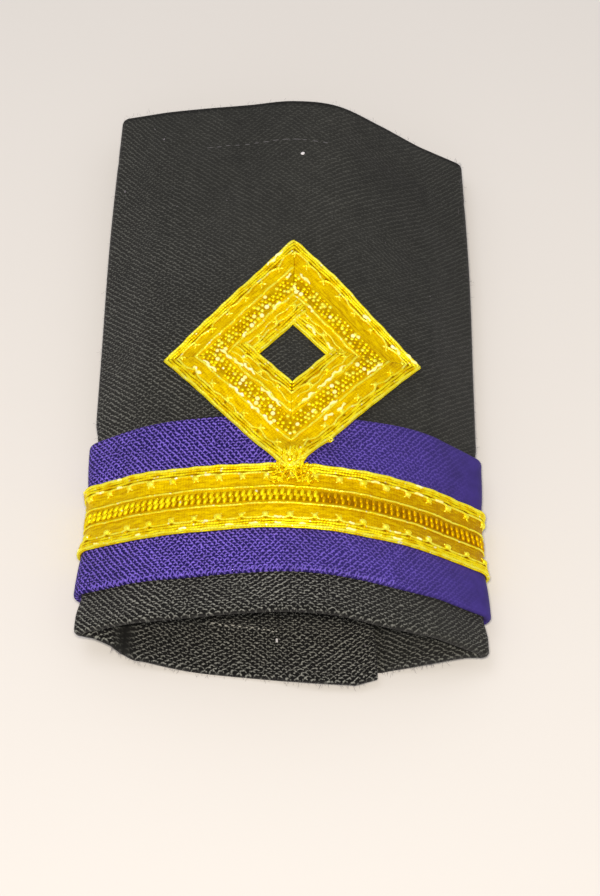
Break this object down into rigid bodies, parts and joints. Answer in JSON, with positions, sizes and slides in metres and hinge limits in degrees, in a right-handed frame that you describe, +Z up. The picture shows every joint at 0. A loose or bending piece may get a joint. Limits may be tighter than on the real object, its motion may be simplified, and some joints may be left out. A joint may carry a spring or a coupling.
{
  "type": "slip-on shoulder board",
  "caption": "Soft tapering cloth sleeve for a shoulder strap, lying flat, with a purple band, a gold lace stripe and an open gold lace diamond.",
  "frame": {"origin": "centre of the footprint, on the surface that the sleeve lies on", "axes": "+Z up, out of the decorated front; +Y towards the narrow end; the wide mouth faces -Y"},
  "size_m": [0.0578, 0.0912, 0.0176],
  "materials": {
    "black_cloth": "matt woven",
    "purple_cloth": "matt woven",
    "gold_lace": "woven metal thread"
  },
  "bodies": {
    "root": {"cloth_sleeve": "black_cloth", "purple_band": "purple_cloth", "gold_stripe": "gold_lace", "gold_diamond": "gold_lace"}
  },
  "joints": []
}
